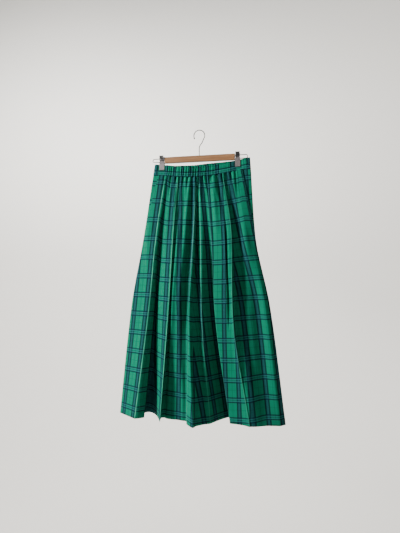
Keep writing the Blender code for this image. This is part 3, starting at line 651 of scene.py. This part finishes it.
def casing_row(v):
    """Plan of the casing at v, the share of its height: x and how far it stands out."""
    low, high = (top + (seam - top) * v for top, seam in zip(BAND_TOP_ENDS, BAND_SEAM_ENDS))
    count = round((BAND_SEAM_ENDS[1] - BAND_SEAM_ENDS[0] - 2 * CASING_ENDS) / CASING_PITCH)
    j = np.linspace(0, count, count * 10 + 1)
    x = np.linspace(low + CASING_ENDS, high - CASING_ENDS, len(j))
    wander = 0.16 * np.sin(2.3 * j) + 0.12 * np.sin(0.9 * j + 1.0) + 0.10 * v * np.sin(1.7 * j)
    turn = 2 * math.pi * (j + wander)
    uneven = 0.80 + 0.20 * np.sin(1.3 * j) + 0.16 * np.sin(0.37 * j + 2.0)
    calm = max(math.exp(-((v - line) / STITCH_REACH) ** 2) for line in CASING_STITCHES)
    crease = np.sin(turn) + 0.22 * np.sin(2 * turn + 0.6)
    wave = crease * CASING_DEPTH * uneven * (0.25 + 0.75 * most_gathered(x)) * (1 - 0.7 * calm)
    for upper, lower in zip((0.0, *CASING_STITCHES), (*CASING_STITCHES, 1.0)):
        if upper <= v <= lower:
            puff = CASING_PUFF * math.sin(math.pi * (v - upper) / (lower - upper)) ** 0.7
    clear = smoothstep(*CLIP_CLEAR, np.abs(np.abs(x) - CLIP_X))
    out = band_values(x, 4) + (wave + puff - STITCH_DIP * calm) * clear
    xs = np.concatenate([low + CASING_TURN[:, 0], x, high - CASING_TURN[::-1, 0]])
    return xs, np.concatenate([CASING_TURN[:, 1], out, CASING_TURN[::-1, 1]])


def casing_grid(facing, u_offset):
    points, cloth = [], []
    top_column = 1 if facing < 0 else 2
    flat = casing_row(0.35)[0]  # in the upper channel
    dense = 1 + 0.9 * most_gathered(flat)
    u = np.concatenate([[0.0], np.cumsum(np.diff(flat) * (dense[1:] + dense[:-1]) / 2)])
    u *= CASING_FULLNESS * (flat[-1] - flat[0]) / u[-1]
    for v in np.linspace(0, 1, CASING_ROWS):
        xs, outs = casing_row(v)
        tops, seams = band_values(xs, top_column), band_values(xs, 3)
        z = tops + (seams - CASING_LAP - tops) * v
        points.append(np.stack([xs, facing * outs, z], axis=-1))
        cloth.append(np.stack([u + u_offset, seams - z + WEFT_PHASE + CASING_BAND_UP], axis=-1))
    return np.array(points), np.array(cloth), np.zeros((len(points), len(points[0])))


casing_front, casing_back = casing_grid(-1, u_offset=-5 * MM), casing_grid(1, u_offset=11 * MM)
waistband_front = cloth_piece("waistband_front_cloth", *casing_front, -1, CASING_THICKNESS)
waistband_back = cloth_piece("waistband_back_cloth", *casing_back, 1, CASING_THICKNESS)
print("waistband:", len(waistband_front.data.vertices), "points each half")

# %% [markdown]
# ## Stitches
#
# Sewing shows as rows of thread: two along the casing's channels, one along each hem and two
# along each slanted pocket mouth. A stitch is a short thread that is thickest in its middle
# and dips into the cloth at its ends. One small form is repeated along a line that is read
# from the shell's own grid, and each row becomes one joined mesh.

# %% Stitches
STITCH_LENGTH, STITCH_GAP, THREAD_RADIUS = 2.6 * MM, 1.0 * MM, 0.28 * MM
STITCH_SIDES = 5
STITCH_RINGS = (  # along, thick, up
    (-0.5, 0.35, -0.6), (-0.25, 0.9, 0.35), (0.25, 0.9, 0.35), (0.5, 0.35, -0.6),
)
HEM_STITCHES_UP = 18 * MM
MOUTH_STITCHES_IN = (2 * MM, 7 * MM)  # from the edge of a pocket mouth
MOUTH_STITCHES_END = POCKET_END - 0.02
MOUTH_COLUMNS = 40  # the outermost columns, in which they run


def stitch_form():
    """Rings of points (along, aside, up) and the faces between them, for one stitch."""
    angles = np.arange(STITCH_SIDES) * 2 * math.pi / STITCH_SIDES
    points = [
        (along * STITCH_LENGTH, aside * thick * THREAD_RADIUS, (up + higher * thick) * THREAD_RADIUS)
        for along, thick, up in STITCH_RINGS for aside, higher in zip(np.cos(angles), np.sin(angles))]
    rings = np.arange(len(points)).reshape(-1, STITCH_SIDES)
    beside = np.roll(rings, -1, axis=1)
    faces = np.stack([rings[:-1], rings[1:], beside[1:], beside[:-1]], axis=-1).reshape(-1, 4)
    return np.array(points), [*faces.tolist(), rings[0].tolist(), rings[-1, ::-1].tolist()]


def surface_line(points, rows, columns):
    """Places and directions square to a grid, at fractional rows and columns."""
    rows, columns = np.broadcast_arrays(np.atleast_1d(rows).astype(float), columns)
    r = np.clip(rows.astype(int), 0, points.shape[0] - 2)
    k = np.clip(columns.astype(int), 0, points.shape[1] - 2)
    down, across = (rows - r)[:, None], (columns - k)[:, None]
    a, b, c, d = points[r, k], points[r, k + 1], points[r + 1, k], points[r + 1, k + 1]
    place = (a * (1 - across) + b * across) * (1 - down) + (c * (1 - across) + d * across) * down
    normal = np.cross(b - a + d - c, c - a + d - b)
    return place, normal / np.linalg.norm(normal, axis=1)[:, None]


def outwards(normal, facing):
    return normal * np.where(normal[:, 1:2] * facing < 0, -1, 1)


def read_along(line, arc, distance):
    return np.array([np.interp(distance, arc, line[:, n]) for n in range(3)])


def stitch_rows(name, lines):
    """One joined mesh with a stitch after every STITCH_GAP along each line of (places, outward)."""
    form, form_faces = stitch_form()
    points, faces = [], []
    for place, outward, raised in lines:
        arc = arc_length(place)
        for middle in np.arange(STITCH_LENGTH, arc[-1] - STITCH_LENGTH, STITCH_LENGTH + STITCH_GAP):
            along = read_along(place, arc, middle + MM) - read_along(place, arc, middle - MM)
            along = along / np.linalg.norm(along)
            out = read_along(outward, arc, middle)
            out = out - along * out.dot(along)
            out = out / np.linalg.norm(out)
            base = len(points)
            axes = np.stack([along, np.cross(out, along), out])
            points += list(read_along(place, arc, middle) + out * raised + form @ axes)
            faces += [tuple(base + v for v in face) for face in form_faces]
    mesh = bpy.data.meshes.new(name)
    mesh.from_pydata([tuple(p) for p in points], [], faces)
    mesh.shade_smooth()
    return new_object(name, mesh)


def casing_seams(grid, facing):
    first, last = len(CASING_TURN), grid.shape[1] - 1 - len(CASING_TURN)
    for line in CASING_STITCHES:
        columns = np.linspace(first, last, grid.shape[1] * 2)
        place, normal = surface_line(grid, line * (CASING_ROWS - 1), columns)
        yield place, outwards(normal, facing), CASING_THICKNESS / 2


def hem_line(grid, facing):
    rows, columns = grid.shape[:2]
    row = np.interp(HEM_Z + HEM_STITCHES_UP, grid[::-1, columns // 2, 2], np.arange(rows)[::-1])
    place, normal = surface_line(grid, row, np.linspace(2, columns - 3, columns * 2))
    return place, normal * np.sign(normal[0, 1] * facing), CLOTH_THICKNESS / 2


def mouth_lines(grid, rows, from_edge):
    """The lines beside both slanted pocket mouths, which are the front grid's own side edges."""
    last_row = int(np.searchsorted(rows, MOUTH_STITCHES_END))
    down = np.linspace(1, last_row, last_row * 3)
    outermost = np.arange(MOUTH_COLUMNS)
    for mirrored in (False, True):
        sided = grid[:, ::-1] if mirrored else grid
        arcs = [arc_length(sided[int(value), :MOUTH_COLUMNS]) for value in down]
        columns = np.array([np.interp(from_edge, arc, outermost) for arc in arcs])
        place, normal = surface_line(grid, down, grid.shape[1] - 1 - columns if mirrored else columns)
        yield place, outwards(normal, -1), CLOTH_THICKNESS / 2


sewing = {
    "casing_front_stitches": casing_seams(casing_front[0], -1),
    "casing_back_stitches": casing_seams(casing_back[0], 1),
    "pocket_stitches": [
        line for inside in MOUTH_STITCHES_IN for line in mouth_lines(front_grid[0], front_rows, inside)],
    "hem_front_stitches": [hem_line(front_grid[0], -1)],
    "hem_back_stitches": [hem_line(back_grid[0], 1)],
}
stitches = {name: stitch_rows(name, lines) for name, lines in sewing.items()}
for name, piece in stitches.items():
    print(name, len(piece.data.polygons), "faces")

# %% [markdown]
# ## Shader maths as Python
#
# A material's numbers flow through nodes. `Flow` wraps one node output, so that an expression
# such as `1 - mask * 0.4` adds its Math nodes by itself. Every other node comes from `node`,
# which sets the node's own settings first and then its sockets' values or links.

# %% The Flow class
class Flow:
    """One output socket on its way through a material."""

    def __init__(self, tree, socket):
        self.tree, self.socket = tree, socket

    def node(self, kind, settings=None, output=0, **sockets):
        """Add a node. Socket names use _ for a space, and a second socket of one name ends in 2."""
        made = self.tree.nodes.new(kind)
        for key, value in (settings or {}).items():
            setattr(made, key, value)
        for name, value in sockets.items():
            which = 1 if name.endswith("2") else 0
            wanted = name.rstrip("2").replace("_", " ")
            socket = [s for s in made.inputs if s.enabled and s.name == wanted][which]
            if isinstance(value, Flow):
                self.tree.links.new(value.socket, socket)
            else:
                socket.default_value = value
        found = [s for s in made.outputs if s.enabled]
        return Flow(self.tree, found[output])

    def math(self, operation, *other, flip=False):
        operands = dict(zip(("Value", "Value2"), (*other, self) if flip else (self, *other)))
        return self.node("ShaderNodeMath", {"operation": operation}, **operands)

    def __add__(self, other):
        return self.math("ADD", other)

    def __sub__(self, other):
        return self.math("SUBTRACT", other)

    def __mul__(self, other):
        return self.math("MULTIPLY", other)

    def __truediv__(self, other):
        return self.math("DIVIDE", other)

    def __rsub__(self, other):
        return self.math("SUBTRACT", other, flip=True)

    __radd__, __rmul__ = __add__, __mul__

    def between(self, low, high):
        """0 below low, 1 above high, and a smooth step between them."""
        settings = {"interpolation_type": "SMOOTHSTEP"}
        return self.node("ShaderNodeMapRange", settings, Value=self, From_Min=low, From_Max=high)

    def mix(self, first, second):
        """The first colour where this mask is 0, the second where it is 1."""
        return self.node("ShaderNodeMix", {"data_type": "RGBA"}, Factor=self, A=first, B=second)

    def stretched(self, size):
        """This place, with each axis multiplied by its own number."""
        return self.node("ShaderNodeVectorMath", {"operation": "MULTIPLY"}, Vector=self, Vector2=size)

    def mottled(self, scale=1.0, detail=2.0, **more):
        """Soft noise at this place."""
        return self.node("ShaderNodeTexNoise", Vector=self, Scale=scale, Detail=detail, **more)

    def into(self, name):
        """Link this to one of the Principled shader's sockets."""
        self.tree.links.new(self.socket, self.tree.nodes["Principled BSDF"].inputs[name])

    def bump(self, strength, distance):
        """Let the surface rise and fall with this height."""
        self.node("ShaderNodeBump", Height=self, Strength=strength, Distance=distance).into("Normal")


def new_material(name, **constants):
    """A Principled material. Constants go straight onto the shader's own sockets."""
    material = bpy.data.materials.new(name)
    material.use_nodes = True
    shader = material.node_tree.nodes["Principled BSDF"]
    for key, value in constants.items():
        shader.inputs[key.replace("_", " ")].default_value = value
    return material, Flow(material.node_tree, None)


def object_place(start):
    return start.node("ShaderNodeTexCoord", output=3)


print("Flow can", [name for name in vars(Flow) if not name.startswith("_")])

# %% [markdown]
# ## The plaid
#
# A plaid is two sets of stripes, warp down the cloth and weft across it. Each spot shows both,
# so the stripes are laid over an emerald ground one after the other, each covering it as much
# as its threads do. Down the cloth: a muted blue stripe between two navy ones. Across it: a
# bottle-green ground with two thin mint lines between two dark ones. Midway between the bands
# runs a thin shaded line. A twill's diagonal lets the cover rise and fall from thread to
# thread, slow streaks make the yarn uneven, and the pressed edges get a painted highlight in
# patches, for the light that they catch.

# %% Plaid material
EMERALD, BOTTLE = (0.001, 0.106, 0.06, 1), (0.0006, 0.038, 0.037, 1)
NAVY, SLATE_BLUE = (0.0008, 0.0056, 0.0124, 1), (0.006, 0.032, 0.0465, 1)
INK, MINT = (0.0007, 0.008, 0.0172, 1), (0.03, 0.158, 0.166, 1)
# painted highlight for the pressed edges, where they catch the light
EDGE_HIGHLIGHT = (0.045, 0.26, 0.175, 1)
STRIPES = (  # runs, inner and outer distance from the band's middle (mm), colour, cover
    ("down", -1, 3.7, SLATE_BLUE, 0.84),
    ("down", 3.7, 8.9, NAVY, 0.93),
    ("across", -1, 7, BOTTLE, 0.42),
    ("across", 5.3, 9.6, INK, 0.86),
    ("across", 2.6, 4.7, MINT, 0.3),
)
STRIPE_BLUR = 0.35 * MM
THIN_LINES = (("down", WARP_PITCH / 2, 0.22), ("across", WEFT_PITCH / 2, 0.16))  # runs, where, shade
THIN_LINE_WIDTH, THIN_LINE_CORE = 1.5 * MM, 0.6 * MM  # to each side
TWILL_PITCH, TWILL_RELIEF = 0.9 * MM, 0.16


def band_distance(position, pitch, phase):
    """Distance from the middle of the nearest band."""
    turns = (position - phase) / pitch + 0.5
    return (turns.math("FRACT") - 0.5).math("ABSOLUTE") * pitch


def plaid_material():
    material, start = new_material("plaid", Roughness=0.9, Specular_IOR_Level=0.06)
    place = start.node("ShaderNodeUVMap", {"uv_map": "cloth"})
    across = place.node("ShaderNodeSeparateXYZ", Vector=place)
    down = Flow(start.tree, across.socket.node.outputs["Y"])
    warp_yarn, weft_yarn = (place.stretched(size).mottled() for size in ((430, 11, 1), (11, 430, 1)))
    distance = {
        "down": band_distance(across, WARP_PITCH, 0.0),
        "across": band_distance(down, WEFT_PITCH, WEFT_PHASE),
    }
    diagonal = ((across + down) / TWILL_PITCH).math("FRACT")
    twill = {
        "down": 1 - diagonal.between(0.45, 0.95) * TWILL_RELIEF,
        "across": 1 - TWILL_RELIEF + diagonal.between(0.2, 0.7) * TWILL_RELIEF,
    }
    cloth = start.node("ShaderNodeRGB")
    cloth.socket.default_value = EMERALD
    for runs, inner, outer, colour, cover in STRIPES:
        d = distance[runs]
        mask = 1 - d.between(outer * MM - STRIPE_BLUR, outer * MM + STRIPE_BLUR)
        if inner > 0:
            mask = mask * d.between(inner * MM - STRIPE_BLUR, inner * MM + STRIPE_BLUR)
        cloth = (mask * twill[runs] * cover).mix(cloth, colour)
    shade = 0.72 + warp_yarn * 0.36 + weft_yarn * 0.2
    for runs, middle, dark in THIN_LINES:
        line = distance[runs].between(middle - THIN_LINE_WIDTH, middle - THIN_LINE_CORE)
        shade = shade * (1 - line * dark)
    cloth = shade.node("ShaderNodeVectorMath", {"operation": "SCALE"}, Vector=cloth, Scale=shade)
    # painted highlight on the pressed edges, broken into patches
    highlight_mask = start.node("ShaderNodeAttribute", {"attribute_name": "pressed"}, output=2)
    patches = place.stretched((3, 26, 1)).mottled().between(0.3, 0.7)
    (highlight_mask * (0.45 + patches * 0.5)).mix(cloth, EDGE_HIGHLIGHT).into("Base Color")
    ribs = (diagonal * (2 * math.pi)).math("SINE")
    (ribs * 0.5 + warp_yarn * 0.8 + weft_yarn * 0.6).bump(0.3, 0.12 * MM)
    return material


def thread_material():
    material, start = new_material("green thread", Roughness=0.7, Specular_IOR_Level=0.2)
    twist = object_place(start).mottled(1400.0, 1.0)
    twist.mix((0.002, 0.09, 0.052, 1), (0.004, 0.15, 0.085, 1)).into("Base Color")
    twist.bump(0.4, 0.1 * MM)
    return material


plaid, thread = plaid_material(), thread_material()
for piece in stitches.values():
    piece.data.materials.append(thread)
for piece in (skirt_front, skirt_back, hip_left, hip_right, waistband_front, waistband_back):
    piece.data.materials.append(plaid)
print("plaid:", len(plaid.node_tree.nodes), "nodes")

# %% [markdown]
# ## The hanger's finishes
#
# The bar is clear-varnished light wood, its grain running along it. The wires and the clips'
# jaws are plated steel, and the pads on the clips' levers are black. The wires' colour is
# nearly black: a painted dark reflection, for the dark surroundings that plated wire mirrors.

# %% Wood, wire, steel and pads
def wood_material():
    material, start = new_material("varnished wood", Roughness=0.42, Coat_Weight=0.25, Coat_Roughness=0.2)
    place = object_place(start)
    grain = place.stretched((6, 90, 160)).mottled(detail=6.0, Distortion=0.6)
    pores = place.stretched((60, 900, 1200)).mottled()
    colour = grain.between(0.3, 0.7).mix((0.21, 0.1, 0.04, 1), (0.135, 0.058, 0.019, 1))
    colour = (pores.between(0.58, 0.75) * 0.35).mix(colour, (0.055, 0.024, 0.01, 1))
    colour.into("Base Color")
    (grain + pores * 0.4).bump(0.25, 0.2 * MM)
    return material


def metal_material(name, colour, dull, scale):
    material, start = new_material(name, Roughness=0.25, Metallic=1.0)
    wear_and_highlight = object_place(start).mottled(scale, 3.0)
    (wear_and_highlight * 0.3 + dull).into("Roughness")
    darker = (*(v * 0.82 for v in colour[:3]), 1.0)
    wear_and_highlight.between(0.35, 0.7).mix(colour, darker).into("Base Color")
    return material


def pad_material():
    material, start = new_material("black pad", Roughness=0.5)
    grain = object_place(start).mottled(900.0)
    grain.mix((0.0012, 0.0012, 0.0014, 1), (0.004, 0.004, 0.0046, 1)).into("Base Color")
    grain.bump(0.3, 0.1 * MM)
    return material


# nearly black: a painted dark reflection of dark surroundings, not the plated steel's own colour
dark_reflection_wire = metal_material("dark reflection wire", (0.012, 0.012, 0.012, 1), dull=0.22, scale=120.0)
finishes = {  # a word in a piece's name, and that piece's finish. The first word found counts
    "bar": wood_material(),
    "hook": dark_reflection_wire,
    "wire": dark_reflection_wire,
    "grip": pad_material(),
    "clip": metal_material("clip steel", (0.25415, 0.23074, 0.24228, 1), dull=0.26, scale=260.0),
}
for name, node in nodes.items():
    finish = next((finishes[word] for word in finishes if word in name), None)
    for material_slot in node.material_slots if finish else ():
        material_slot.material = finish
print("finishes:", list(finishes))

# %% [markdown]
# ## Tying the cloth to the frame
#
# Each shell rides on the frame's one body, stands for its solid, and says how large its cloth
# was when it lay flat. That size is measured on the shell itself. To it comes the cloth that
# the waist's gathers take up, more than the shell's waves show: the gathers use a share of the
# upper edge, fading towards the hem.

# %% Ride and replace
SKIRT_FULLNESS = 1.45  # as CASING_FULLNESS, for the gathers at the waist seam


def surface_area(points):
    across, down = gaps(points, 1), gaps(points, 0)
    return float((0.5 * (across[1:] + across[:-1]) * 0.5 * (down[:, 1:] + down[:, :-1])).sum())


def cut_of(points, fullness, reach):
    """Width, length and area of the flat cloth. reach: 1 gathered all over, 0.5 fading to none."""
    widths = gaps(points, 1).sum(axis=1)
    length = float(gaps(points, 0).sum(axis=0).mean())
    width = float(max(widths[0] * fullness, widths.max()))
    taken_up = (fullness - 1) * float(widths[0]) * length * reach
    return width, length, min(surface_area(points) + taken_up, width * length)


CLOTHS = (  # piece, grid, the solid it stands for, fullness, reach, what holds it, the sewing on it
    (skirt_front, front_grid, "skirt_front", SKIRT_FULLNESS, 0.5, ["waistband_front_cloth"],
     ["hem_front_stitches", "pocket_stitches"]),
    (skirt_back, back_grid, "skirt_back", SKIRT_FULLNESS, 0.5, ["waistband_back_cloth"],
     ["hem_back_stitches"]),
    (waistband_front, casing_front, "waistband_front", CASING_FULLNESS, 1.0,
     ["clip_left_front", "clip_right_front"], ["casing_front_stitches"]),
    (waistband_back, casing_back, "waistband_back", CASING_FULLNESS, 1.0,
     ["clip_left_back", "clip_right_back"], ["casing_back_stitches"]),
    (hip_left, hip_left_grid, "hip_left", 1.0, 0.0, ["waistband_front_cloth"], []),
    (hip_right, hip_right_grid, "hip_right", 1.0, 0.0, ["waistband_front_cloth"], []),
)
for piece, grid, solid, fullness, reach, holders, sewn in CLOTHS:
    width, length, area = cut_of(grid[0], fullness, reach)
    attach(piece, "root")
    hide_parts(solid)
    for name in sewn:
        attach(stitches[name], "root")
    [stitches[name] for name in sewn]
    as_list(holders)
    print(f"{solid}: cut {width:.3f} x {length:.3f} m, {area:.4f} m2, shell {surface_area(grid[0]):.4f} m2")

# %% [markdown]
# ## Floor, backdrop and light
#
# The skirt hangs in a plain pale bowl of floor and backdrop, so every side has the same
# quiet ground. One soft key lamp from the left makes the folds' shadows fall to the right.
# A wash brightens the backdrop, a lamp behind the skirt lights its back, and a weak bluish
# sky fills the shadows.

# %% Stage and lamps
FLOOR_Z, FLOOR_COLOUR = -1.95, (0.368, 0.356, 0.334, 1.0)
BOWL_RADIUS, BOWL_HEIGHT, BOWL_CURVE = 3.4, 6.2, 1.6
CURVE_STEPS, BOWL_SIDES = 12, 72
SKIRT_MIDDLE, WARM, WHITE = (0.0, 0.0, -0.5), (1.0, 0.985, 0.96), (1.0, 1.0, 1.0)
LAMPS = (  # name, place, what it points at, size, power, colour
    ("key", (-2.25, -1.30, 0.55), SKIRT_MIDDLE, 0.45, 275.0, WARM),
    ("backdrop wash", (-1.0, 0.8, 1.3), (-0.3, 3.4, -0.3), 1.2, 420.0, WHITE),
    ("back", (1.55, 2.1, 0.6), SKIRT_MIDDLE, 0.9, 108.0, WARM),
)
SKY_COLOUR, SKY_STRENGTH = (0.60, 0.85, 1.0, 1.0), 0.29


def bowl():
    """A floor that curves up into a round backdrop: a profile turned about Z."""
    profile = [(0.0, FLOOR_Z)]
    for k in range(CURVE_STEPS + 1):
        angle = math.radians(-90 + 90 * k / CURVE_STEPS)
        r = BOWL_RADIUS - BOWL_CURVE + BOWL_CURVE * math.cos(angle)
        profile.append((r, FLOOR_Z + BOWL_CURVE + BOWL_CURVE * math.sin(angle)))
    profile.append((BOWL_RADIUS, FLOOR_Z + BOWL_HEIGHT))
    shape = bmesh.new()
    points = [shape.verts.new((r, 0.0, z)) for r, z in profile]
    for a, b in zip(points, points[1:]):
        shape.edges.new((a, b))
    bmesh.ops.spin(shape, geom=shape.verts[:] + shape.edges[:], axis=(0, 0, 1), cent=(0, 0, 0),
                   steps=BOWL_SIDES, angle=2 * math.pi, use_merge=True)
    bmesh.ops.remove_doubles(shape, verts=shape.verts, dist=0.0001)
    bmesh.ops.recalc_face_normals(shape, faces=shape.faces)
    mesh = bpy.data.meshes.new("floor")
    shape.to_mesh(mesh)
    shape.free()
    mesh.shade_smooth()
    mesh.materials.append(new_material("pale floor", Roughness=0.9, Base_Color=FLOOR_COLOUR)[0])
    return new_object("floor", mesh)


bowl()
for name, place, target, size, power, colour in LAMPS:
    light = bpy.data.lights.new(name, "AREA")
    light.shape, light.size, light.energy, light.color = "DISK", size, power, colour
    lamp = new_object(name, light)
    lamp.location, lamp.visible_camera = place, False
    lamp.rotation_euler = (Vector(target) - Vector(place)).to_track_quat("-Z", "Y").to_euler()
world = bpy.data.worlds.new("studio")
bpy.context.scene.world = world
world.use_nodes = True
sky = world.node_tree.nodes["Background"]
sky.inputs["Color"].default_value, sky.inputs["Strength"].default_value = SKY_COLOUR, SKY_STRENGTH
print("stage: floor at", FLOOR_Z, "m")

# %% [markdown]
